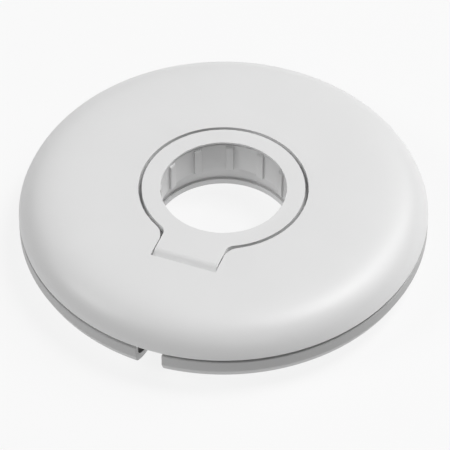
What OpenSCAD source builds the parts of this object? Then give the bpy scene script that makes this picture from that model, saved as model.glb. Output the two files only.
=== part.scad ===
// Watch-charger dock and cable winder.
// A domed cover and a drum turn on a shallow base tray. The charging puck sits in a
// holder ring that flips up on a hinge at the end of its tab, and the cable winds
// round the drum and leaves through the notch in the tray.
// Origin: centre of the underside. The tab and the notch point along -Y.

/* [Overall] */
// Outside diameter of the cover and the tray
body_d = 91; // [88:0.5:96]
// Height from the table to the flat top
body_h = 15.5; // [15.3:0.1:16]
// Wall thickness of the cover
cover_wall = 1.8; // [1.6:0.1:2]
// Height of the cover's lower edge
cover_edge_z = 8.65; // [8.5:0.05:8.9]
// Open line between the cover and the tray
parting_gap = 0.55; // [0.4:0.05:0.8]

/* [Holder ring] */
// Diameter of the hole that the charging puck drops into
puck_d = 28; // [27.8:0.1:28.2]
// Outside diameter of the ring's flange
ring_d = 36.2; // [36:0.1:36.4]
// Thickness of the flange and the tab
ring_t = 1.65; // [1.5:0.05:1.7]
// Thickness of the lip round the puck's hole
lip_t = 0.5; // [0.4:0.05:0.7]
// Open line between the ring and the cover
ring_gap = 0.75; // [0.6:0.05:0.9]
// Width of the tab
tab_w = 14.6; // [14:0.1:15]
// Open line beside the tab
tab_gap = 0.25; // [0.2:0.05:0.3]
// Depth of the seat, from the top of the ring to the lower edge of the liner
seat_depth = 8.4; // [8.2:0.05:8.5]
// Number of ribs in the liner
rib_count = 12; // [8:1:16]
// How far a rib stands out of the liner
rib_h = 0.5; // [0.3:0.05:0.6]

/* [Hinge] */
// Distance of the hinge axis from the centre
hinge_y = 21.75; // [21.6:0.05:21.9]
// Depth of the hinge axis below the top
hinge_drop = 2.8; // [2.7:0.05:2.9]
// Diameter of the hinge pin
pin_d = 1.6; // [1.4:0.1:1.8]

/* [Drum] */
// Outside diameter of the drum that the cable winds on
drum_d = 59.6; // [59:0.2:60]
// Diameter of the open bore through the drum
bore_d = 32.4; // [32.2:0.1:32.6]
// Width of the slot that lets the cable out of the bore
slot_w = 5; // [4.5:0.1:5]

/* [Tray] */
// Wall thickness of the tray
tray_wall = 1.5; // [1.4:0.1:1.6]
// Width of the notch in the rim
notch_w = 6; // [5:0.5:7]
// How far the notch reaches in from the rim
notch_l = 10; // [8:0.5:11]

/* [Hidden] */
$fn = 128;
white = [0.93, 0.93, 0.925];
soft_white = [0.86, 0.86, 0.86];
grey = [0.62, 0.62, 0.63];
steel = [0.75, 0.76, 0.78];

body_r = body_d / 2;
roof_z = body_h - cover_wall;
run_gap = 0.05;
// how far a cutting shape reaches past the face it cuts
past = 1;

// holder ring
puck_r = puck_d / 2;
ring_r = ring_d / 2;
opening_r = ring_r + ring_gap;
flange_z = body_h - ring_t;
skirt_ro = puck_r + 1.5;
skirt_ri = puck_r + 0.8;
seat_z = body_h - seat_depth;
skirt_z = seat_z + 0.15;
tab_x = tab_w / 2;
tab_end_y = 24.4;
tab_bevel = 1.5;
slot_end_y = tab_end_y + 0.45;
ring_fillet = 0.75;
cover_fillet = 3.2;

// liner
liner_ri = puck_r + 0.25;
lip_z = body_h - lip_t;
liner_top = lip_z - run_gap;
liner_lead = 0.35;
rib_w = 1.8;
rib_slope = 0.35;
rib_root = 0.2;

// hinge
hinge_z = body_h - hinge_drop;
pin_r = pin_d / 2;
ear_in_x = tab_x + tab_gap;
ear_t = 3;
ear_out_x = ear_in_x + ear_t;
ear_r = 1.9;
washer_t = 0.2;
washer_r = 1.5;
barrel_r = 2.2;
barrel_x = ear_in_x - washer_t - run_gap;

// drum and its floor
drum_r = drum_d / 2;
drum_wall = 1.4;
bore_r = bore_d / 2;
tube_wall = 1.4;
web_z = 4.1;
web_t = 1.5;
ledge_r = 19.6;
ledge_t = 1.2;
hub_top_z = roof_z - 0.1;
rim_drop = 0.3;
spigot_ri = bore_r + tube_wall;
spigot_ro = 21.4;
cable_z0 = web_z + web_t;
cable_z1 = 10.1;

ear_room = 0.4;
barrel_room_y = 18.8;

// screws that hold the drum to the cover
hub_screw_r = 22.2;
hub_pad_top = 7.1;
boss_r = 2.6;
boss_root = 0.2;
hub_shank_r = 0.9;
hub_shank_top = 12.3;
hub_head_r = 1.95;
hub_head_z = web_z + 0.2;
hub_head_h = 1.3;
hex_r = 0.8;
hex_depth = 0.7;
head_room = 0.1;
shank_room = 0.3;

// screws that hold the retaining plate to the drum
plate_screw_r = 19.5;
plate_shank_r = 0.8;
plate_hole_r = 1.05;
plate_head_r = 1.85;
plate_neck_r = 1;
plate_head_h = 0.85;
cross_w = 0.4;
cross_l = 2;
cross_depth = 0.5;
plate_shank_top = 4.85;

// tray
floor_t = 1.5;
under_z = 0.3;
floor_z = under_z + floor_t;
crease_z = 5.25;
taper_r = body_r - 0.9;
taper_z = 3.3;
flat_r = 36.5;
round_r = 40.6;
round_in_r = round_r - 0.8;
raised_z = 2.3;
raised_ri = spigot_ro + 0.1;
recess_r = 26.5;
rim_z = cover_edge_z - parting_gap;
bend_steps = 10;

// glide washer
glide_ri = 24.6;
glide_ro = 27.6;
glide_z = raised_z + floor_t + run_gap;

// retaining plate and foot
plate_r = 25.6;
plate_ri = bore_r - 0.6;
plate_z = 0.75;
plate_top = raised_z - run_gap;
foot_r = 32;
foot_w = 4;
foot_sunk = 0.6;

// Curve of the dome: flat in the middle, rolling off to an upright edge.
function dome_drop(f) = 1 - pow(1 - pow(f, 12.6), 0.704);
dome_steps = [for (i = [0:47]) 1 - pow(1 - i / 47, 2)];
function dome(r, z0, drop, from) =
    [for (s = dome_steps) let (f = from / r + (1 - from / r) * s) [r * f, z0 - drop * dome_drop(f)]];
function reversed(list) = [for (i = [len(list) - 1:-1:0]) list[i]];
// Quadratic curve through a corner point.
function bend(a, b, c, n) =
    [for (i = [0:n]) let (t = i / n) (1 - t) * (1 - t) * a + 2 * t * (1 - t) * b + t * t * c];

// Disc with a straight tab, and a blend of radius f where they meet.
module keyhole(r, x, y_end, f) {
    cx = x + f;
    cy = sqrt((r + f) * (r + f) - cx * cx);
    inner = (r - past) / (r + f);
    circle(r);
    translate([-x, -y_end]) square([2 * x, y_end]);
    for (s = [-1, 1]) difference() {
        polygon([[s * cx * inner, -cy * inner], [s * cx, -cy], [s * (x - past), -cy],
                 [s * (x - past), 2 * past - cy]]);
        translate([s * cx, -cy]) circle(f);
    }
}

module along_x(x0, x1, r) {
    translate([x0, -hinge_y, hinge_z]) rotate([0, 90, 0]) cylinder(r = r, h = x1 - x0);
}

module at_hub_screws() {
    for (a = [45:90:315]) rotate(a) translate([hub_screw_r, 0, 0]) children();
}

module at_plate_screws() {
    for (a = [0:90:270]) rotate(a) translate([plate_screw_r, 0, 0]) children();
}

// Domed outer shell with the keyhole opening, hinge ears and screw bosses.
module top_cover() color(white) {
    inner_r = body_r - 1.6;
    start_r = 12;
    difference() {
        rotate_extrude() polygon(concat(
            dome(body_r, body_h, body_h - cover_edge_z, start_r),
            reversed(dome(inner_r, roof_z, roof_z - cover_edge_z, start_r))));
        translate([0, 0, roof_z - past]) linear_extrude(cover_wall + 2 * past)
            keyhole(opening_r, tab_x + tab_gap, slot_end_y, cover_fillet);
    }
    for (s = [-1, 1]) difference() {
        x0 = s > 0 ? ear_in_x : -ear_out_x;
        union() {
            along_x(x0, x0 + ear_t, ear_r);
            translate([x0, -hinge_y - ear_r, hinge_z])
                cube([ear_t, 2 * ear_r, roof_z - hinge_z + boss_root]);
        }
        along_x(x0 - past, x0 + ear_t + past, pin_r);
    }
    at_hub_screws() difference() {
        translate([0, 0, hub_pad_top]) cylinder(r = boss_r, h = roof_z - hub_pad_top + boss_root);
        translate([0, 0, hub_pad_top - past])
            cylinder(r = hub_shank_r, h = hub_shank_top - hub_pad_top + past + shank_room);
    }
}

// Flip-up ring with its tab, hinge barrel and the skirt that holds the liner.
module holder_ring() color(white) difference() {
    union() {
        translate([0, 0, flange_z]) linear_extrude(ring_t)
            keyhole(ring_r, tab_x, tab_end_y, ring_fillet);
        translate([0, 0, skirt_z]) cylinder(r = skirt_ro, h = flange_z - seat_z);
        along_x(-barrel_x, barrel_x, barrel_r);
    }
    translate([0, 0, flange_z - past]) cylinder(r = puck_r, h = ring_t + 2 * past);
    translate([0, 0, seat_z - past]) cylinder(r = skirt_ri, h = lip_z - seat_z + past);
    along_x(-tab_x - past, tab_x + past, pin_r + run_gap);
    // bevel across the end of the tab
    translate([0, -tab_end_y + tab_bevel, body_h]) rotate([45, 0, 0])
        translate([-tab_x - past, -3 * tab_bevel, 0])
        cube([tab_w + 2 * past, 3 * tab_bevel, 2 * tab_bevel]);
    cable_slot(flange_z - past);
}

// Slot for the puck's cable, under the tab, up to the height z.
module cable_slot(z) {
    translate([-slot_w / 2, -skirt_ro - past, seat_z - past])
        cube([slot_w, skirt_ro - puck_r + 2.5 * past, z - seat_z + past]);
}

// Soft ribbed sleeve that grips the puck.
module grip_liner() color(soft_white) difference() {
    translate([0, 0, seat_z]) cylinder(r = skirt_ri, h = liner_top - seat_z);
    translate([0, 0, seat_z - past]) linear_extrude(seat_depth + past) difference() {
        circle(liner_ri);
        for (i = [0:rib_count - 1]) rotate((i + 0.5) * 360 / rib_count - 90)
            translate([liner_ri - rib_h, 0])
            polygon([[0, rib_slope - rib_w / 2], [rib_h + rib_root, -rib_w / 2],
                     [rib_h + rib_root, rib_w / 2], [0, rib_w / 2 - rib_slope]]);
    }
    translate([0, 0, liner_top - liner_lead]) cylinder(r = liner_ri, h = liner_lead + past);
    cable_slot(body_h);
}

module hinge_pin() color(steel) along_x(-ear_out_x, ear_out_x, pin_r);

// Spring washers at both ends of the barrel, which hold the ring where it is put.
module hinge_washers() color(steel) for (s = [-1, 1]) difference() {
    x0 = s > 0 ? ear_in_x - washer_t : -ear_in_x;
    along_x(x0, x0 + washer_t, washer_r);
    along_x(x0 - past, x0 + washer_t + past, pin_r);
}

// Drum, open bore and the spigot that turns in the tray, in one moulding.
module spool_hub() color(white) difference() {
    union() {
        rotate_extrude() polygon([
            [bore_r, plate_top], [spigot_ro, plate_top], [spigot_ro, web_z],
            [drum_r - drum_wall, web_z], [drum_r - drum_wall, floor_z + rim_drop],
            [drum_r, floor_z + rim_drop],
            [drum_r, hub_top_z], [drum_r - drum_wall, hub_top_z], [drum_r - drum_wall, cable_z0],
            [spigot_ri, cable_z0], [spigot_ri, hub_top_z - ledge_t], [ledge_r, hub_top_z - ledge_t],
            [ledge_r, hub_top_z], [bore_r, hub_top_z]]);
        at_hub_screws() translate([0, 0, web_z]) cylinder(r = boss_r, h = hub_pad_top - web_z);
    }
    at_hub_screws() {
        translate([0, 0, web_z - past])
            cylinder(r = hub_head_r + head_room, h = hub_head_z - web_z + hub_head_h + past);
        translate([0, 0, web_z]) cylinder(r = hub_shank_r + shank_room, h = hub_pad_top);
    }
    at_plate_screws() translate([0, 0, plate_top - past])
        cylinder(r = plate_shank_r, h = plate_shank_top - plate_top + 1.2 * past);
    // way for the cable, from the bore out to the drum's rim
    translate([-slot_w / 2, -drum_r - past, cable_z0])
        cube([slot_w, drum_r - bore_r + 3 * past, cable_z1 - cable_z0]);
    // room for the hinge barrel and the ears
    translate([-ear_out_x - ear_room, -ledge_r - past, cable_z1])
        cube([2 * (ear_out_x + ear_room), ledge_r + past - barrel_room_y, hub_top_z]);
}

module hub_screws() color(steel) at_hub_screws() {
    translate([0, 0, hub_head_z]) difference() {
        cylinder(r = hub_head_r, h = hub_head_h);
        translate([0, 0, -past]) cylinder(r = hex_r, h = hex_depth + past, $fn = 6);
    }
    translate([0, 0, hub_head_z + hex_depth + 0.1])
        cylinder(r = hub_shank_r, h = hub_shank_top - hub_head_z - hex_depth - 0.1);
}

// Slippery washer between the drum's floor and the tray.
module glide_washer() color(grey) translate([0, 0, glide_z]) difference() {
    cylinder(r = glide_ro, h = web_z - glide_z);
    translate([0, 0, -past]) cylinder(r = glide_ri, h = web_z);
}

// Shallow dish with a rounded underside and the notch that the cable leaves by.
module base_tray() color(soft_white) difference() {
    inner = body_r - tray_wall;
    rotate_extrude() polygon(concat(
        [[raised_ri, raised_z], [recess_r, raised_z], [recess_r, under_z]],
        reversed(bend([taper_r, taper_z], [round_r, under_z], [flat_r, under_z], bend_steps)),
        [[body_r, crease_z], [body_r, rim_z], [inner, rim_z], [inner, crease_z + 0.1]],
        bend([taper_r - tray_wall, taper_z + 0.5], [round_in_r, floor_z], [flat_r, floor_z], bend_steps),
        [[recess_r + floor_t, floor_z], [recess_r + floor_t, raised_z + floor_t],
         [raised_ri, raised_z + floor_t]]));
    // notch with a round inner end
    translate([-notch_w / 2, -body_r - past, -past])
        cube([notch_w, notch_l + past - notch_w / 2, body_h]);
    translate([0, -body_r + notch_l - notch_w / 2, -past]) cylinder(r = notch_w / 2, h = body_h);
    // groove for the foot ring
    translate([0, 0, under_z - past]) band(foot_r, foot_w, foot_sunk + past);
}

// Flat ring of middle radius r and width w.
module band(r, w, h) difference() {
    cylinder(r = r + w / 2, h = h);
    translate([0, 0, -past]) cylinder(r = r - w / 2, h = h + 2 * past);
}

// Ring screwed under the spigot, which keeps the tray on the drum.
module retainer_plate() color(white) difference() {
    translate([0, 0, plate_z]) cylinder(r = plate_r, h = plate_top - plate_z);
    translate([0, 0, plate_z - past]) cylinder(r = plate_ri, h = body_h);
    at_plate_screws() {
        translate([0, 0, plate_z - past]) cylinder(r = plate_hole_r, h = plate_top + past);
        translate([0, 0, plate_z])
            cylinder(r1 = plate_head_r + run_gap, r2 = plate_neck_r + run_gap, h = plate_head_h);
    }
}

module retainer_screws() color(steel) at_plate_screws() translate([0, 0, plate_z]) {
    difference() {
        cylinder(r1 = plate_head_r, r2 = plate_neck_r, h = plate_head_h);
        for (a = [0, 90]) rotate(a) translate([-cross_l / 2, -cross_w / 2, -past])
            cube([cross_l, cross_w, cross_depth + past]);
    }
    translate([0, 0, cross_depth + 0.1])
        cylinder(r = plate_shank_r, h = plate_shank_top - plate_z - cross_depth - 0.1);
}

// Soft ring that keeps the tray from sliding on the table.
module foot_ring() color(grey) band(foot_r, foot_w, under_z + foot_sunk);

top_cover();
holder_ring();
grip_liner();
hinge_pin();
hinge_washers();
spool_hub();
hub_screws();
glide_washer();
base_tray();
retainer_plate();
retainer_screws();
foot_ring();
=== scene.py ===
import math

import bpy
from mathutils import Matrix, Vector


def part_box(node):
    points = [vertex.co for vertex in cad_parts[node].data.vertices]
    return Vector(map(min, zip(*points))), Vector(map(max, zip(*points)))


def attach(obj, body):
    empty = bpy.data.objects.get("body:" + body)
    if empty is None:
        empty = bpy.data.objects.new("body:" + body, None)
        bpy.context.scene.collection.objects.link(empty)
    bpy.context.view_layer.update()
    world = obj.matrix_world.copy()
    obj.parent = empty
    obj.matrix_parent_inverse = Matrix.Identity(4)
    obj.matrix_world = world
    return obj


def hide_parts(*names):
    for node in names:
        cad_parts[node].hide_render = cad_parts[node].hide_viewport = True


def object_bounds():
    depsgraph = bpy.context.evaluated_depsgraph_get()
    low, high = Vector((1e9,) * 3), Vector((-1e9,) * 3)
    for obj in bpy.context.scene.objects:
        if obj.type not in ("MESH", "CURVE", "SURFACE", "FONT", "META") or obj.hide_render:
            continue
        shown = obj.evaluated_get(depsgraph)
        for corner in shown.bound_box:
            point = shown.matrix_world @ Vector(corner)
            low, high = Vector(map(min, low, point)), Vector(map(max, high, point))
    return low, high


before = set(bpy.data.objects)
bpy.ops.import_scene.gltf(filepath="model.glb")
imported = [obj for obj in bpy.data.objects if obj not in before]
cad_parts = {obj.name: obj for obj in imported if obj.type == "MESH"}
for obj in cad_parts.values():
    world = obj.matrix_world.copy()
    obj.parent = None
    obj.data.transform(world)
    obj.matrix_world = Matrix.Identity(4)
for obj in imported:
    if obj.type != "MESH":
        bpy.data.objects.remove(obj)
cad_low, cad_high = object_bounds()


# ---------------------------------------------------------------- studio
# A lit white table top under five soft round lamps: a high key lamp behind
# on the right, two lower ones beside it, and two weaker ones in front. The
# camera looks down over the tab.
MM = 0.001
view_azimuth = math.radians(20.8)
view_elevation = math.radians(45.45)
view_distance = 800 * MM
view_aim = Vector((2.47, -5.58, 9.71)) * MM
camera_lens = 289.4


def towards(azimuth, elevation):
    """Unit vector from the dock to a place at that azimuth and elevation."""
    flat = math.cos(elevation)
    return Vector((math.sin(azimuth) * flat, -math.cos(azimuth) * flat, math.sin(elevation)))


def aimed(thing, place, target):
    thing.location = place
    thing.rotation_euler = (place - target).to_track_quat("Z", "Y").to_euler()
    bpy.context.scene.collection.objects.link(thing)


camera_data = bpy.data.cameras.new("camera")
camera_data.lens = camera_lens
camera_data.clip_start = 0.01
camera = bpy.data.objects.new("camera", camera_data)
ring_top = Vector((0, 0, cad_high.z))
aimed(camera, ring_top + towards(view_azimuth, view_elevation) * view_distance, view_aim)
bpy.context.scene.camera = camera

lamp_distance = 1.2
lamp_width = 0.5
# name, azimuth, elevation, power
lamps = [
    ("key", 135, 65, 8.5),
    ("right", 120, 40, 2.0),
    ("back_right", 150, 40, 3.0),
    ("front_left", 300, 40, 4.4),
    ("front_right", 30, 40, 1.2),
]
for name, azimuth, elevation, power in lamps:
    lamp = bpy.data.lights.new(name, "AREA")
    lamp.shape = "DISK"
    lamp.size = lamp_width
    lamp.energy = power
    place = towards(math.radians(azimuth), math.radians(elevation)) * lamp_distance
    aimed(bpy.data.objects.new(name, lamp), place, Vector((0, 0, 0)))

world = bpy.data.worlds.new("studio")
world.use_nodes = True
world.node_tree.nodes["Background"].inputs["Color"].default_value = (1, 1, 1, 1)
world.node_tree.nodes["Background"].inputs["Strength"].default_value = 0.02
bpy.context.scene.world = world
bpy.context.scene.view_settings.view_transform = "Standard"


def bare():
    """Nothing is selected, and nothing is in edit mode."""
    if bpy.context.mode != "OBJECT":
        bpy.ops.object.mode_set(mode="OBJECT")
    bpy.ops.object.select_all(action="DESELECT")


bare()
bpy.ops.mesh.primitive_plane_add(size=20, location=(0, 0, cad_low.z))
table = bpy.context.object
table.name = "table"
table_white = bpy.data.materials.new("table_white")
table_white.use_nodes = True
shader = table_white.node_tree.nodes["Principled BSDF"]
shader.inputs["Base Color"].default_value = (0.08, 0.08, 0.08, 1)
shader.inputs["Roughness"].default_value = 0.9
shader.inputs["Emission Color"].default_value = (1, 1, 1, 1)
shader.inputs["Emission Strength"].default_value = 0.85
table.data.materials.append(table_white)


# ---------------------------------------------------------------- base tray
# The lower half: a shallow dish moulded in light grey plastic, with a rounded
# underside, a raised middle that it turns on, and a notch for the cable.
tray_low, tray_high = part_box("base_tray")
tray_radius = tray_high.x
tray_rim = tray_high.z
tray_under = tray_low.z
tray_wall = 1.5 * MM
crease_z = 5.25 * MM
taper_in = 0.9 * MM
taper_z = 3.3 * MM
round_radius = 40.6 * MM
flat_radius = 36.5 * MM
raised_z = 2.3 * MM
recess_radius = 26.5 * MM
tray_hole = 21.5 * MM
crease_ease = 0.2 * MM
bend_in = 1.2 * MM
bend_up = 0.8 * MM
notch_width = 6 * MM
notch_length = 10 * MM
groove_radius = 32 * MM
groove_width = 4 * MM
groove_depth = 0.6 * MM
past = 1 * MM  # how far a cutting tool runs past the face it cuts


def outward(piece):
    """Makes every face of a closed solid look outwards."""
    bpy.ops.object.mode_set(mode="EDIT")
    bpy.ops.mesh.select_all(action="SELECT")
    bpy.ops.mesh.normals_make_consistent(inside=False)
    bpy.ops.object.mode_set(mode="OBJECT")
    if sum(face.center.dot(face.normal) * face.area for face in piece.data.polygons) < 0:
        bpy.ops.object.mode_set(mode="EDIT")
        bpy.ops.mesh.flip_normals()
        bpy.ops.object.mode_set(mode="OBJECT")


def turned(name, outline, sides):
    """A closed ring: a circle is extruded along the outline of (radius, height) points."""
    bare()
    radius, height = outline[0]
    bpy.ops.mesh.primitive_circle_add(vertices=sides, radius=radius)
    piece = bpy.context.object
    piece.name = name
    bpy.ops.object.mode_set(mode="EDIT")
    bpy.ops.mesh.select_all(action="SELECT")
    bpy.ops.transform.translate(value=(0, 0, height))
    for next_radius, next_height in outline[1:] + outline[:1]:
        bpy.ops.mesh.extrude_edges_move(TRANSFORM_OT_translate={"value": (0, 0, next_height - height)})
        growth = next_radius / radius
        bpy.ops.transform.resize(value=(growth, growth, 1), center_override=(0, 0, next_height))
        radius, height = next_radius, next_height
    bpy.ops.mesh.select_all(action="SELECT")
    bpy.ops.mesh.remove_doubles(threshold=0.002 * MM)
    outward(piece)
    return piece


def curve(start, corner, end, steps):
    """Points of a soft bend from start to end that leans towards the corner."""
    points = []
    for i in range(steps + 1):
        t = i / steps
        points.append(tuple(
            (1 - t) ** 2 * a + 2 * t * (1 - t) * b + t * t * c for a, b, c in zip(start, corner, end)))
    return points


def eased(start, corner, end, radius, steps=4):
    """The corner between two straight walls, rounded off."""
    ends = []
    for other in (start, end):
        way = Vector(other) - Vector(corner)
        ends.append(tuple(Vector(corner) + way.normalized() * radius))
    return curve(ends[0], corner, ends[1], steps)


def smoothed_outline(points, radius):
    """The closed outline with each of its sharp corners eased by the same radius."""
    outline = []
    for i, corner in enumerate(points):
        outline += eased(points[i - 1], corner, points[(i + 1) % len(points)], radius)
    return outline


def block(low, high):
    bare()
    low, high = Vector(low), Vector(high)
    bpy.ops.mesh.primitive_cube_add(size=1, location=(low + high) / 2, scale=high - low)
    bpy.ops.object.transform_apply(location=True, rotation=True, scale=True)
    return bpy.context.object


def rod(radius, start, end, sides=64, end_radius=None):
    """A straight round bar, or a cone if its end has another radius."""
    bare()
    start, end = Vector(start), Vector(end)
    bpy.ops.mesh.primitive_cone_add(
        vertices=sides, radius1=radius, radius2=radius if end_radius is None else end_radius,
        depth=(end - start).length, location=(start + end) / 2,
        rotation=(end - start).to_track_quat("Z", "Y").to_euler())
    bpy.ops.object.transform_apply(location=True, rotation=True, scale=True)
    return bpy.context.object


def combined(piece, tool, how="DIFFERENCE"):
    """Cuts the tool out of the piece, or adds it, and the tool is gone."""
    modifier = piece.modifiers.new("tool", "BOOLEAN")
    modifier.operation = how
    modifier.object = tool
    modifier.solver = "EXACT"
    bare()
    bpy.context.view_layer.objects.active = piece
    bpy.ops.object.modifier_apply(modifier=modifier.name)
    bpy.data.objects.remove(tool)


def rounded(piece, radius, steps, chosen):
    """Rounds each edge whose two ends, a and b, are chosen."""
    bare()
    piece.select_set(True)
    bpy.context.view_layer.objects.active = piece
    bpy.context.tool_settings.mesh_select_mode = (False, True, False)
    bpy.ops.object.mode_set(mode="EDIT")
    bpy.ops.mesh.select_all(action="SELECT")
    bpy.ops.mesh.remove_doubles(threshold=0.01 * MM)
    bpy.ops.mesh.select_all(action="DESELECT")
    bpy.ops.object.mode_set(mode="OBJECT")
    spots = [v.co.copy() for v in piece.data.vertices]
    for edge in piece.data.edges:
        edge.select = chosen(spots[edge.vertices[0]], spots[edge.vertices[1]])
    bpy.ops.object.mode_set(mode="EDIT")
    bpy.ops.mesh.bevel(offset=radius, segments=steps, affect="EDGES", clamp_overlap=True)
    bpy.ops.mesh.select_all(action="DESELECT")
    bpy.ops.object.mode_set(mode="OBJECT")


def smooth(piece, angle=35):
    """Soft shading that keeps flat faces flat."""
    bare()
    piece.select_set(True)
    bpy.context.view_layer.objects.active = piece
    bpy.ops.object.shade_smooth_by_angle(angle=math.radians(angle))
    modifier = piece.modifiers.new("flat_faces", "WEIGHTED_NORMAL")
    modifier.keep_sharp = True
    bpy.ops.object.modifier_apply(modifier=modifier.name)


def skin_group():
    """Spark-eroded mould texture: fine grain, faint cloudiness, and edges polished by handling."""
    group = bpy.data.node_groups.new("moulded_skin", "ShaderNodeTree")
    face = group.interface
    for name, kind in (("Colour", "NodeSocketColor"), ("Cloudiness", "NodeSocketFloat"),
                       ("Roughness", "NodeSocketFloat"), ("Grain", "NodeSocketFloat"),
                       ("Grain size", "NodeSocketFloat"), ("Polish", "NodeSocketFloat")):
        face.new_socket(name=name, in_out="INPUT", socket_type=kind)
    for name, kind in (("Colour", "NodeSocketColor"), ("Roughness", "NodeSocketFloat"),
                       ("Normal", "NodeSocketVector")):
        face.new_socket(name=name, in_out="OUTPUT", socket_type=kind)
    nodes, link = group.nodes, group.links.new
    given = nodes.new("NodeGroupInput")
    result = nodes.new("NodeGroupOutput")
    place = nodes.new("ShaderNodeTexCoord")

    clouds = nodes.new("ShaderNodeTexNoise")
    clouds.inputs["Scale"].default_value = 70
    clouds.inputs["Detail"].default_value = 3
    link(place.outputs["Object"], clouds.inputs["Vector"])
    centred = nodes.new("ShaderNodeMath")
    centred.operation = "SUBTRACT"
    centred.inputs[1].default_value = 0.5
    link(clouds.outputs["Fac"], centred.inputs[0])
    shade = nodes.new("ShaderNodeMath")
    shade.operation = "MULTIPLY_ADD"
    shade.inputs[2].default_value = 1
    link(centred.outputs[0], shade.inputs[0])
    link(given.outputs["Cloudiness"], shade.inputs[1])
    tinted = nodes.new("ShaderNodeVectorMath")
    tinted.operation = "SCALE"
    link(given.outputs["Colour"], tinted.inputs[0])
    link(shade.outputs[0], tinted.inputs["Scale"])
    link(tinted.outputs[0], result.inputs["Colour"])

    grain = nodes.new("ShaderNodeTexNoise")
    grain.inputs["Detail"].default_value = 2
    link(place.outputs["Object"], grain.inputs["Vector"])
    link(given.outputs["Grain size"], grain.inputs["Scale"])
    bump = nodes.new("ShaderNodeBump")
    bump.inputs["Distance"].default_value = 0.02 * MM
    link(grain.outputs["Fac"], bump.inputs["Height"])
    link(given.outputs["Grain"], bump.inputs["Strength"])
    link(bump.outputs["Normal"], result.inputs["Normal"])

    geometry = nodes.new("ShaderNodeNewGeometry")
    edges = nodes.new("ShaderNodeMapRange")
    edges.inputs["From Min"].default_value = 0.52
    edges.inputs["From Max"].default_value = 0.62
    edges.inputs["To Min"].default_value = 0
    edges.inputs["To Max"].default_value = -1
    link(geometry.outputs["Pointiness"], edges.inputs["Value"])
    polished = nodes.new("ShaderNodeMath")
    polished.operation = "MULTIPLY_ADD"
    link(edges.outputs["Result"], polished.inputs[0])
    link(given.outputs["Polish"], polished.inputs[1])
    link(given.outputs["Roughness"], polished.inputs[2])
    mottled = nodes.new("ShaderNodeMath")
    mottled.operation = "MULTIPLY_ADD"
    mottled.inputs[1].default_value = 0.08
    link(centred.outputs[0], mottled.inputs[0])
    link(polished.outputs[0], mottled.inputs[2])
    link(mottled.outputs[0], result.inputs["Roughness"])
    return group


moulded_skin = skin_group()


def moulded(name, colour, roughness, grain, grain_size=5200, cloudiness=0.03, polish=0.1):
    """A moulded plastic or rubber with the spark-eroded skin."""
    paint = bpy.data.materials.new(name)
    paint.use_nodes = True
    nodes, link = paint.node_tree.nodes, paint.node_tree.links.new
    skin = nodes.new("ShaderNodeGroup")
    skin.node_tree = moulded_skin
    skin.inputs["Colour"].default_value = (*colour, 1)
    skin.inputs["Cloudiness"].default_value = cloudiness
    skin.inputs["Roughness"].default_value = roughness
    skin.inputs["Grain"].default_value = grain
    skin.inputs["Grain size"].default_value = grain_size
    skin.inputs["Polish"].default_value = polish
    shader = nodes["Principled BSDF"]
    link(skin.outputs["Colour"], shader.inputs["Base Color"])
    link(skin.outputs["Roughness"], shader.inputs["Roughness"])
    link(skin.outputs["Normal"], shader.inputs["Normal"])
    return paint


def finish(piece, body, slot, paint, *nodes):
    """Puts the material on, hangs the piece on the empty of the body it rides on, and hides the solids it
    stands for.
    """
    piece.data.materials.clear()
    piece.data.materials.append(paint)
    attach(piece, body)
    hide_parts(*nodes)


inner = tray_radius - tray_wall
floor_z = tray_under + tray_wall
step_radius = recess_radius + tray_wall
rim_ease = 0.3 * MM
tray_outline = [(tray_hole, raised_z), (recess_radius, raised_z), (recess_radius, tray_under)]
tray_outline += [(groove_radius - groove_width / 2, tray_under),
                 (groove_radius - groove_width / 2, tray_under + groove_depth),
                 (groove_radius + groove_width / 2, tray_under + groove_depth),
                 (groove_radius + groove_width / 2, tray_under)]
tray_outline += curve((flat_radius, tray_under), (round_radius, tray_under),
                      (tray_radius - taper_in, taper_z), 16)
tray_outline += eased((tray_radius - taper_in, taper_z), (tray_radius, crease_z),
                      (tray_radius, tray_rim), crease_ease)
tray_outline += eased((tray_radius, crease_z), (tray_radius, tray_rim), (inner, tray_rim), rim_ease)
tray_outline += eased((tray_radius, tray_rim), (inner, tray_rim), (inner, crease_z), rim_ease)
tray_outline += curve((inner, crease_z + crease_ease), (inner - bend_in, floor_z + bend_up),
                      (flat_radius, floor_z), 12)
tray_outline += [(step_radius, floor_z), (step_radius, raised_z + tray_wall),
                 (tray_hole, raised_z + tray_wall)]
tray = turned("tray", tray_outline, 256)
notch_end = -tray_radius + notch_length - notch_width / 2
notch_low, notch_high = tray_under - past, tray_rim + past
notch = block((-notch_width / 2, -tray_radius - past, notch_low), (notch_width / 2, notch_end, notch_high))
combined(notch, rod(notch_width / 2, (0, notch_end, notch_low), (0, notch_end, notch_high)), "UNION")
combined(tray, notch)
smooth(tray)
grey_tray = moulded("grey_tray", (0.46, 0.46, 0.46), 0.42, 0.25)
finish(tray, "base", "tray_plastic", grey_tray, "base_tray")


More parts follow.
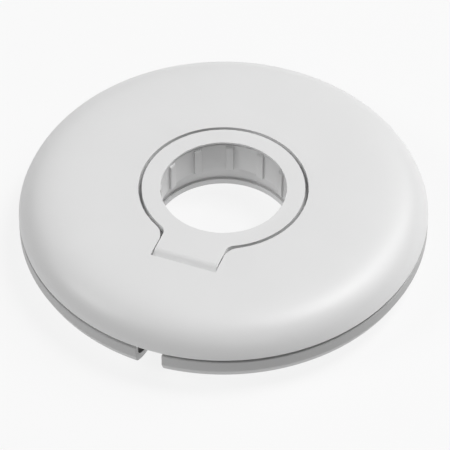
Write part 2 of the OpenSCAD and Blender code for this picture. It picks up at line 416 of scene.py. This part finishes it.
# ---------------------------------------------------------------- foot ring
# A soft rubber ring glued into the groove under the tray. It stands a little
# proud, and three fine grooves in its face help it to grip the table.
foot_low, foot_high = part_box("foot_ring")
foot_outer = foot_high.x
foot_inner = foot_outer - groove_width
foot_top = foot_high.z
foot_ease = 0.3 * MM
grip_groove = 0.15 * MM
foot_outline = [(foot_inner, foot_top)]
foot_outline += eased((foot_inner, foot_top), (foot_inner, foot_low.z), (foot_outer, foot_low.z), foot_ease)
for part in (1, 2, 3):
    middle = foot_inner + groove_width * part / 4
    foot_outline += curve((middle - 2 * grip_groove, foot_low.z), (middle, foot_low.z + 2 * grip_groove),
                          (middle + 2 * grip_groove, foot_low.z), 4)
foot_outline += eased((foot_inner, foot_low.z), (foot_outer, foot_low.z), (foot_outer, foot_top), foot_ease)
foot_outline += [(foot_outer, foot_top)]
foot = turned("foot", foot_outline, 192)
smooth(foot)
grey_rubber = moulded("grey_rubber", (0.52, 0.52, 0.53), 0.7, 0.5, grain_size=7000, polish=0)
finish(foot, "base", "foot_rubber", grey_rubber, "foot_ring")


# ---------------------------------------------------------------- spool hub
# The drum that the cable winds on, its floor, and the tube round the open
# middle, moulded in one piece. Hardly any of it shows once it is closed in.
# The hub's off-white is darkened to a grey as painted shade, standing in for the shade inside the recess
# under the liner, where the cast light is too bright.
hub_off_white_with_painted_shade = moulded("hub_off_white_with_painted_shade", (0.62, 0.62, 0.62), 0.5, 0.3)
hub_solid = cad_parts["spool_hub"]
hub_solid.data.materials.clear()
hub_solid.data.materials.append(hub_off_white_with_painted_shade)


# ---------------------------------------------------------------- glide washer
# A thin ring of slippery plastic that lies between the drum and the tray.
slippery = moulded("slippery_plastic", (0.80, 0.80, 0.77), 0.3, 0.05, cloudiness=0.06)
washer_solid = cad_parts["glide_washer"]
washer_solid.data.materials.clear()
washer_solid.data.materials.append(slippery)


# ---------------------------------------------------------------- retainer plate
# A flat moulded ring screwed up into the drum from below. The raised middle
# of the tray turns between this ring and the drum's floor.
plate_low, plate_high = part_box("retainer_plate")
plate_radius = plate_high.x
plate_bore = 15.6 * MM
screw_circle = 19.5 * MM
countersink = 1.9 * MM
countersink_depth = 0.85 * MM
screw_hole = 1.05 * MM
trim_radius = 23.4 * MM
trim_width = 0.5 * MM
plate_ease = 0.1 * MM


def four_around(radius, first):
    """Four places spaced evenly round the axis, the first one at that angle in degrees."""
    turns = (math.radians(first + 90 * i) for i in range(4))
    return [(radius * math.cos(t), radius * math.sin(t)) for t in turns]


plate_outline = smoothed_outline([
    (plate_bore, plate_low.z), (plate_radius, plate_low.z),
    (plate_radius, plate_high.z), (plate_bore, plate_high.z)], plate_ease)
trim = curve((trim_radius - trim_width, plate_low.z), (trim_radius, plate_low.z + trim_width),
             (trim_radius + trim_width, plate_low.z), 6)
corner_points = 5
plate_outline = plate_outline[:corner_points] + trim + plate_outline[corner_points:]
plate = turned("plate", plate_outline, 192)
for x, y in four_around(screw_circle, 0):
    combined(plate, rod(screw_hole, (x, y, plate_low.z - past), (x, y, plate_high.z + past), 32))
    combined(plate, rod(countersink, (x, y, plate_low.z), (x, y, plate_low.z + countersink_depth),
                        32, screw_hole))
smooth(plate)
# The plate takes the hub's colour, which is darkened as painted shade.
finish(plate, "turntable", "hub_plastic", hub_off_white_with_painted_shade, "retainer_plate")


# ---------------------------------------------------------------- retainer screws
# Four small countersunk steel screws with a cross recess, turned and rolled,
# which hold the retainer plate up against the drum.
shank_radius = 0.8 * MM
shank_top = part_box("retainer_screws")[1].z
thread_pitch = 0.4 * MM
thread_depth = 0.18 * MM
head_radius = 1.85 * MM
head_edge = 0.1 * MM
recess_width = 0.45 * MM
recess_depth = 0.6 * MM
recess_reach = 0.62 * head_radius
screw_turns = (20, 85, 150, 215)  # where each screw came to a stop


def turned_solid(name, outline, sides):
    """A solid turned part: a disc is extruded along the outline of (radius, height) points."""
    bare()
    radius, height = outline[0]
    bpy.ops.mesh.primitive_circle_add(vertices=sides, radius=radius, fill_type="NGON")
    piece = bpy.context.object
    piece.name = name
    bpy.ops.object.mode_set(mode="EDIT")
    bpy.ops.mesh.select_all(action="SELECT")
    bpy.ops.transform.translate(value=(0, 0, height))
    for next_radius, next_height in outline[1:]:
        bpy.ops.mesh.extrude_region_move(TRANSFORM_OT_translate={"value": (0, 0, next_height - height)})
        growth = next_radius / radius
        bpy.ops.transform.resize(value=(growth, growth, 1), center_override=(0, 0, next_height))
        radius, height = next_radius, next_height
    outward(piece)
    return piece


def thread(radius, height, top):
    """Points of a rolled thread up the shank, and its blunt end."""
    points = []
    while height < top - 2 * thread_pitch:
        points += [(radius - thread_depth, height), (radius, height + thread_pitch / 2)]
        height += thread_pitch
    return points + [(radius - thread_depth, height), (radius / 3, top)]


def cross_recess(piece, under, width, depth, reach):
    """Two crossed slots with sloping ends, pressed into the head from below."""
    for turn in (0, 90):
        slot = block((-reach, -width / 2, under - depth), (reach, width / 2, under + depth))
        bpy.ops.object.mode_set(mode="EDIT")
        bpy.ops.mesh.select_all(action="DESELECT")
        bpy.ops.object.mode_set(mode="OBJECT")
        for face in slot.data.polygons:
            face.select = face.normal.z > 0.5
        bpy.ops.object.mode_set(mode="EDIT")
        bpy.ops.transform.resize(value=(0.4, 0.8, 1), center_override=(0, 0, under + depth))
        bpy.ops.object.mode_set(mode="OBJECT")
        bare()
        slot.select_set(True)
        bpy.ops.transform.rotate(value=math.radians(turn), orient_axis="Z", center_override=(0, 0, under))
        bpy.ops.object.transform_apply(location=True, rotation=True, scale=True)
        combined(piece, slot)


def placed_copy(piece, name, place):
    """A copy with its own mesh, moved to its place."""
    twin = piece.copy()
    twin.data = piece.data.copy()
    twin.name = name
    bpy.context.scene.collection.objects.link(twin)
    twin.data.transform(place)
    return twin


def metal_group():
    """Rolled or drawn steel: fine scratches round the part and a slightly uneven shine."""
    group = bpy.data.node_groups.new("worked_steel", "ShaderNodeTree")
    face = group.interface
    face.new_socket(name="Roughness", in_out="INPUT", socket_type="NodeSocketFloat")
    face.new_socket(name="Scratches", in_out="INPUT", socket_type="NodeSocketFloat")
    face.new_socket(name="Colour", in_out="OUTPUT", socket_type="NodeSocketColor")
    face.new_socket(name="Roughness", in_out="OUTPUT", socket_type="NodeSocketFloat")
    face.new_socket(name="Normal", in_out="OUTPUT", socket_type="NodeSocketVector")
    nodes, link = group.nodes, group.links.new
    given = nodes.new("NodeGroupInput")
    result = nodes.new("NodeGroupOutput")
    place = nodes.new("ShaderNodeTexCoord")
    stretch = nodes.new("ShaderNodeMapping")
    stretch.inputs["Scale"].default_value = (1, 1, 12)
    link(place.outputs["Object"], stretch.inputs["Vector"])
    lines = nodes.new("ShaderNodeTexNoise")
    lines.inputs["Scale"].default_value = 1800
    lines.inputs["Detail"].default_value = 4
    link(stretch.outputs["Vector"], lines.inputs["Vector"])
    tone = nodes.new("ShaderNodeMix")
    tone.data_type = "RGBA"
    tone.inputs["A"].default_value = (0.50, 0.50, 0.51, 1)
    tone.inputs["B"].default_value = (0.68, 0.68, 0.69, 1)
    link(lines.outputs["Fac"], tone.inputs["Factor"])
    link(tone.outputs["Result"], result.inputs["Colour"])
    shine = nodes.new("ShaderNodeMath")
    shine.operation = "MULTIPLY_ADD"
    shine.inputs[1].default_value = 0.15
    link(lines.outputs["Fac"], shine.inputs[0])
    link(given.outputs["Roughness"], shine.inputs[2])
    link(shine.outputs[0], result.inputs["Roughness"])
    bump = nodes.new("ShaderNodeBump")
    bump.inputs["Distance"].default_value = 0.01 * MM
    link(lines.outputs["Fac"], bump.inputs["Height"])
    link(given.outputs["Scratches"], bump.inputs["Strength"])
    link(bump.outputs["Normal"], result.inputs["Normal"])
    return group


worked_steel = metal_group()


def steel(name, roughness, scratches):
    paint = bpy.data.materials.new(name)
    paint.use_nodes = True
    nodes, link = paint.node_tree.nodes, paint.node_tree.links.new
    finish_node = nodes.new("ShaderNodeGroup")
    finish_node.node_tree = worked_steel
    finish_node.inputs["Roughness"].default_value = roughness
    finish_node.inputs["Scratches"].default_value = scratches
    shader = nodes["Principled BSDF"]
    shader.inputs["Metallic"].default_value = 1
    link(finish_node.outputs["Colour"], shader.inputs["Base Color"])
    link(finish_node.outputs["Roughness"], shader.inputs["Roughness"])
    link(finish_node.outputs["Normal"], shader.inputs["Normal"])
    return paint


shank_start = plate_low.z + countersink_depth
screw_outline = [(head_radius - head_edge, plate_low.z), (head_radius, plate_low.z + head_edge),
                 (shank_radius, shank_start)]
screw_outline += thread(shank_radius, shank_start + thread_pitch / 2, shank_top)
first_screw = turned_solid("retainer_screw", screw_outline, 32)
cross_recess(first_screw, plate_low.z, recess_width, recess_depth, recess_reach)
smooth(first_screw)
screw_steel = steel("screw_steel", 0.25, 0.3)
for i, (x, y) in enumerate(four_around(screw_circle, 0)):
    place = Matrix.Translation((x, y, 0)) @ Matrix.Rotation(math.radians(screw_turns[i]), 4, "Z")
    screw = placed_copy(first_screw, f"retainer_screw_{i + 1}", place)
    finish(screw, "turntable", "steel", screw_steel, "retainer_screws")
bpy.data.objects.remove(first_screw)


# ---------------------------------------------------------------- top cover
# The domed shell, moulded in white plastic with a satin skin. Its opening
# follows the ring and the tab. Under it are two ears for the hinge pin and
# four bosses for the screws that hold the drum.
cover_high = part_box("top_cover")[1]
cover_radius = cover_high.x
cover_top = cover_high.z
cover_wall = 1.8 * MM
cover_edge_z = 8.65 * MM
edge_wall = 1.6 * MM
flat_from = 27 * MM
flatness = 12.6  # the higher it is, the farther out the top stays level
roll_off = 0.704  # the lower it is, the steeper the last part down to the edge
opening_radius = 18.85 * MM
slot_half = 7.55 * MM
slot_end = 24.85 * MM
opening_fillet = 4.2 * MM
opening_ease = 0.1 * MM
opening_start = 12 * MM
cover_edge_ease = 0.3 * MM
hinge_y = -21.75 * MM
hinge_z = 12.7 * MM
pin_radius = 0.8 * MM
ear_near = slot_half
ear_far = 10.55 * MM
ear_radius = 1.9 * MM
boss_circle = 22.2 * MM
boss_radius = 2.6 * MM
boss_under = 7.1 * MM
pilot_radius = 0.9 * MM
pilot_top = 12.6 * MM
touch = 0.02 * MM  # how near a point is to a wall that it lies on
overlap = 0.1 * MM  # how far a joined solid reaches into its neighbour


def dome(radius, top, drop, start, steps=44):
    """Points of the dome: flat in the middle, rolling off to an upright edge."""
    points = []
    for i in range(steps + 1):
        share = start / radius + (1 - start / radius) * (1 - (1 - i / steps) ** 2)
        points.append((radius * share, top - drop * (1 - (1 - share ** flatness) ** roll_off)))
    return points


def arc(x, y, radius, start, end, steps):
    turns = (math.radians(start + (end - start) * i / steps) for i in range(steps + 1))
    return [(x + radius * math.cos(t), y + radius * math.sin(t)) for t in turns]


def keyhole(radius, half, end, fillet):
    """Outline of a disc with a straight tab towards -Y, and a blend where they meet."""
    x = half + fillet
    y = -math.sqrt((radius + fillet) ** 2 - x ** 2)
    lean = math.degrees(math.atan2(-y, x))
    right = arc(x, y, fillet, 180 - lean, 180, 16)
    left = [(-px, py) for px, py in right]
    disc = arc(0, 0, radius, -lean, 180 + lean, 224)[1:-1]
    return disc + left + [(-half, -end), (half, -end)] + right[::-1]


def prism(outline, low, high):
    """An upright solid with that outline."""
    bare()
    bpy.ops.mesh.primitive_circle_add(vertices=len(outline), radius=1, fill_type="NGON")
    piece = bpy.context.object
    for vertex, (x, y) in zip(piece.data.vertices, outline):
        vertex.co = (x, y, low)
    bpy.ops.object.mode_set(mode="EDIT")
    bpy.ops.mesh.select_all(action="SELECT")
    bpy.ops.mesh.extrude_region_move(TRANSFORM_OT_translate={"value": (0, 0, high - low)})
    outward(piece)
    return piece


def along_pin(radius, start, end, sides=64):
    """A round bar on the hinge axis, from one x to another."""
    return rod(radius, (start, hinge_y, hinge_z), (end, hinge_y, hinge_z), sides)


def near_outline(spot, radius, half, end, fillet):
    """Whether a point lies on the wall of that keyhole."""
    x, y = abs(spot.x), spot.y
    corner_x = half + fillet
    corner_y = -math.sqrt((radius + fillet) ** 2 - corner_x ** 2)
    beside_tab = y < 0 and x / radius < corner_x / (radius + fillet) - 0.01
    on_ring = abs(math.hypot(x, y) - radius) < touch and not beside_tab
    on_blend = abs(math.hypot(x - corner_x, y - corner_y) - fillet) < touch and y > corner_y - touch
    on_side = abs(x - half) < touch and -end - touch < y < corner_y + touch
    on_end = abs(y + end) < touch and x < half + touch
    return on_ring or on_blend or on_side or on_end


outside = dome(cover_radius, cover_top, cover_top - cover_edge_z, flat_from)
inside = dome(cover_radius - edge_wall, cover_top - cover_wall,
              cover_top - cover_wall - cover_edge_z, flat_from, 24)
edge_corners = [(cover_radius, cover_top), (cover_radius, cover_edge_z),
                (cover_radius - edge_wall, cover_edge_z), (cover_radius - edge_wall, cover_top)]
cover_outline = [(opening_start, cover_top)]
cover_outline += [point for point in outside if point[1] > cover_edge_z + 2 * cover_edge_ease]
cover_outline += eased(*edge_corners[:3], cover_edge_ease) + eased(*edge_corners[1:], cover_edge_ease)
cover_outline += [point for point in reversed(inside) if point[1] > cover_edge_z + 2 * cover_edge_ease]
cover_outline += [(opening_start, cover_top - cover_wall)]
cover = turned("cover", cover_outline, 256)
opening = (opening_radius, slot_half, slot_end, opening_fillet)
combined(cover, prism(keyhole(*opening), 0, cover_top + past))
rounded(cover, opening_ease, 3, lambda a, b: min(a.z, b.z) > cover_top - touch
        and near_outline(a, *opening) and near_outline(b, *opening))
under_roof = cover_top - cover_wall
for side in (-1, 1):
    near, far = side * ear_near, side * ear_far
    ear = block((min(near, far), hinge_y - ear_radius, hinge_z),
                (max(near, far), hinge_y + ear_radius, under_roof + overlap))
    combined(ear, along_pin(ear_radius, near, far), "UNION")
    combined(ear, along_pin(pin_radius, near - side * past, far + side * past, 32))
    combined(cover, ear, "UNION")
for x, y in four_around(boss_circle, 45):
    boss = rod(boss_radius, (x, y, boss_under), (x, y, under_roof + overlap), 48)
    combined(boss, rod(pilot_radius, (x, y, boss_under - past), (x, y, pilot_top), 32))
    combined(cover, boss, "UNION")
smooth(cover)
white_cover = moulded("white_cover", (0.76, 0.76, 0.76), 0.42, 0.25)
finish(cover, "turntable", "cover_plastic", white_cover, "top_cover")


# ---------------------------------------------------------------- hub screws
# Four hexagon-socket steel screws that go up through the drum's floor into
# the bosses of the cover. Their heads sit in pockets that the tray covers.
hub_low, hub_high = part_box("hub_screws")
hub_head_radius = 1.95 * MM
hub_head_height = 1.3 * MM
hub_shank = 0.9 * MM
socket_radius = 0.8 * MM
socket_depth = 0.7 * MM
hub_head_edge = 0.12 * MM
head_top = hub_low.z + hub_head_height
hub_screw_outline = [(hub_head_radius - hub_head_edge, hub_low.z),
                     (hub_head_radius, hub_low.z + hub_head_edge),
                     (hub_head_radius, head_top), (hub_shank, head_top)]
hub_screw_outline += thread(hub_shank, head_top + thread_pitch, hub_high.z)
first_screw = turned_solid("hub_screw", hub_screw_outline, 32)
combined(first_screw, rod(socket_radius, (0, 0, hub_low.z - past), (0, 0, hub_low.z + socket_depth), 6))
smooth(first_screw)
for i, (x, y) in enumerate(four_around(boss_circle, 45)):
    screw = placed_copy(first_screw, f"hub_screw_{i + 1}", Matrix.Translation((x, y, 0)))
    finish(screw, "turntable", "steel", screw_steel, "hub_screws")
bpy.data.objects.remove(first_screw)


# ---------------------------------------------------------------- hinge pin
# A drawn steel pin with chamfered ends. It is pressed into the two ears of
# the cover, and the barrel of the ring turns on it.
pin_low, pin_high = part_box("hinge_pin")
pin_chamfer = 0.15 * MM
pin = along_pin(pin_radius, pin_low.x, pin_high.x, 48)
pin.name = "pin"
rounded(pin, pin_chamfer, 2, lambda a, b: abs(a.x - b.x) < touch)
smooth(pin)
drawn_steel = steel("drawn_steel", 0.18, 0.5)
finish(pin, "turntable", "steel", drawn_steel, "hinge_pin")


# ---------------------------------------------------------------- hinge washers
# Two thin spring-steel washers between the barrel and the ears. Their drag
# holds the ring at whatever angle it is put.
washer_radius = 1.5 * MM
washer_thick = 0.2 * MM
washer_edge = 0.05 * MM
spring_steel = steel("spring_steel", 0.3, 0.2)
for side, name in ((-1, "left_washer"), (1, "right_washer")):
    inner_face = side * (ear_near - washer_thick)
    washer = along_pin(washer_radius, inner_face, side * ear_near, 48)
    washer.name = name
    rounded(washer, washer_edge, 2, lambda a, b: abs(a.x - b.x) < touch)
    combined(washer, along_pin(pin_radius, inner_face - side * past, side * (ear_near + past), 48))
    smooth(washer)
    finish(washer, "turntable", "steel", spring_steel, "hinge_washers")


# ---------------------------------------------------------------- holder ring
# The flip-up ring that holds the charging puck: a flat flange with a tab, a
# thin skirt below it, and a barrel under the tab for the hinge pin. It is
# moulded in the same white plastic as the cover.
ring_low, ring_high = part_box("holder_ring")
ring_radius = ring_high.x
ring_thick = 1.65 * MM
flange_z = ring_high.z - ring_thick
lip_thick = 0.5 * MM
lip_z = ring_high.z - lip_thick
puck_radius = 14 * MM
skirt_outer = 15.5 * MM
skirt_inner = 14.8 * MM
skirt_z = ring_low.z
tab_half = 7.3 * MM
tab_end = -ring_low.y
tab_bevel = 1.5 * MM
tab_ease = 0.6 * MM
bevel_slope = math.radians(36)
ring_fillet = 2.2 * MM
ring_ease = 0.1 * MM
barrel_radius = 2.2 * MM
pin_bore = 0.85 * MM
slot_width = 5 * MM
slot_reach = 3 * MM
slot_top = flange_z - 1 * MM


def cable_slot(top):
    """A tool for the slot under the tab that lets the cable out."""
    return block((-slot_width / 2, -skirt_outer - past, 0),
                 (slot_width / 2, -skirt_outer + slot_reach, top))


flange = (ring_radius, tab_half, tab_end, ring_fillet)
holder = prism(keyhole(*flange), flange_z, ring_high.z)
holder.name = "holder"
bevel_tool = block((-2 * tab_half, -3 * tab_bevel, 0), (2 * tab_half, 0, 2 * tab_bevel))
bevel_y = tab_bevel - tab_end
bevel_tool.data.transform(Matrix.Translation((0, bevel_y, ring_high.z))
                          @ Matrix.Rotation(bevel_slope, 4, "X"))
combined(holder, bevel_tool)
rounded(holder, tab_ease, 4, lambda a, b: max(abs(a.y - bevel_y), abs(b.y - bevel_y)) < touch
        and min(a.z, b.z) > ring_high.z - touch)
rounded(holder, ring_ease, 3, lambda a, b: min(a.z, b.z) > ring_high.z - touch
        and near_outline(a, *flange) and near_outline(b, *flange))
combined(holder, rod(skirt_outer, (0, 0, skirt_z), (0, 0, flange_z + overlap), 192), "UNION")
combined(holder, along_pin(barrel_radius, -tab_half, tab_half), "UNION")
combined(holder, rod(skirt_inner, (0, 0, skirt_z - past), (0, 0, lip_z), 192))
mouth_outline = [(puck_radius, lip_z - past), (puck_radius, ring_high.z - ring_ease)]
mouth_outline += arc(puck_radius + ring_ease, ring_high.z - ring_ease, ring_ease, 180, 90, 4)[1:]
mouth_outline += [(puck_radius + ring_ease, ring_high.z + past)]
combined(holder, turned_solid("mouth", mouth_outline, 192))
combined(holder, along_pin(pin_bore, -2 * tab_half, 2 * tab_half, 48))
combined(holder, cable_slot(slot_top))
smooth(holder)
finish(holder, "holder", "cover_plastic", white_cover, "holder_ring")


# ---------------------------------------------------------------- grip liner
# A soft sleeve pressed into the skirt. Its twelve upright ribs squeeze the
# puck and hold it, and its slot lets the cable out under the tab.
liner_low, liner_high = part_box("grip_liner")
liner_outer = skirt_inner
liner_inner = 14.25 * MM
liner_drop = 0.45 * MM
liner_top = liner_high.z - liner_drop
liner_ease = 0.12 * MM
rib_root = 0.2 * MM
rib_tip = 13.75 * MM
rib_width = 1.7 * MM
rib_count = 12
rib_side_ease = 0.3 * MM
rib_lead = 0.6 * MM
liner_lead = 0.3 * MM
sleeve = turned("grip", smoothed_outline([
    (liner_inner, liner_low.z), (liner_outer, liner_low.z),
    (liner_outer, liner_top), (liner_inner, liner_top)], liner_ease), 192)
for i in range(rib_count):
    turn = math.radians((i + 0.5) * 360 / rib_count - 90)
    rib = block((rib_tip, -rib_width / 2, liner_low.z),
                (liner_inner + rib_root, rib_width / 2, liner_top - liner_lead))
    rounded(rib, rib_lead, 3, lambda a, b: max(a.x, b.x) < rib_tip + touch
            and min(a.z, b.z) > liner_low.z + MM)
    rounded(rib, rib_side_ease, 3, lambda a, b: max(a.x, b.x) < rib_tip + touch
            and abs(a.y - b.y) < touch and abs(a.z - b.z) > MM)
    rib.data.transform(Matrix.Rotation(turn, 4, "Z"))
    combined(sleeve, rib, "UNION")
combined(sleeve, cable_slot(liner_high.z + past))
smooth(sleeve)
soft_rubber = moulded("soft_rubber", (0.66, 0.66, 0.66), 0.55, 0.3, cloudiness=0.05, polish=0.05)
finish(sleeve, "holder", "liner_rubber", soft_rubber, "grip_liner")
